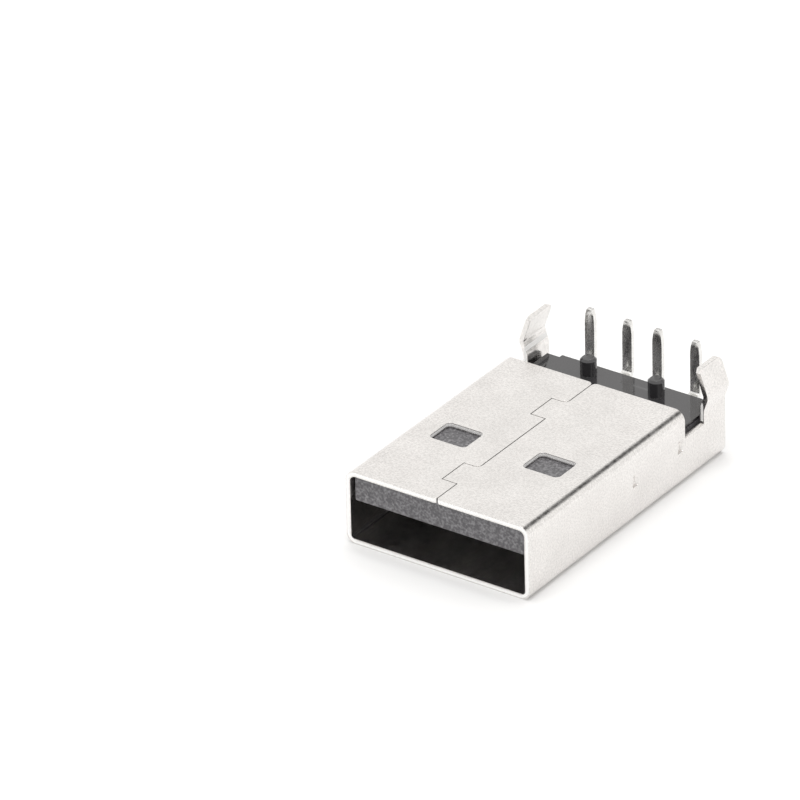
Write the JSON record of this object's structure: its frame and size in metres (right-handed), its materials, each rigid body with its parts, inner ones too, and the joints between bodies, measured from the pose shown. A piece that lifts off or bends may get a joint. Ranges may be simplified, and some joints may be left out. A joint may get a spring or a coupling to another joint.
{
  "type": "usb-a plug",
  "caption": "Board-mount Type-A plug: folded sheet shell with two board legs, moulded housing with pegs, and flat contacts bent up into tails.",
  "frame": {"origin": "under the middle of the whole plug, on the plane of the shell's floor", "axes": "+X across the plug, +Y from the mouth to the tails, +Z from the floor to the seam face and the board"},
  "size_m": [0.0124, 0.0204, 0.0061],
  "materials": {
    "shell_plating": "bright nickel plate over thin sheet, satin and very finely pitted",
    "housing_plastic": "black moulded thermoplastic, glossy on the shelf, fine spark texture elsewhere",
    "contact_plating": "copper alloy strip with bright tin plate on the tails"
  },
  "bodies": {
    "root": {"shell": "shell_plating", "housing": "housing_plastic", "contact_power": "contact_plating", "contact_data_minus": "contact_plating", "contact_data_plus": "contact_plating", "contact_ground": "contact_plating"}
  },
  "joints": []
}
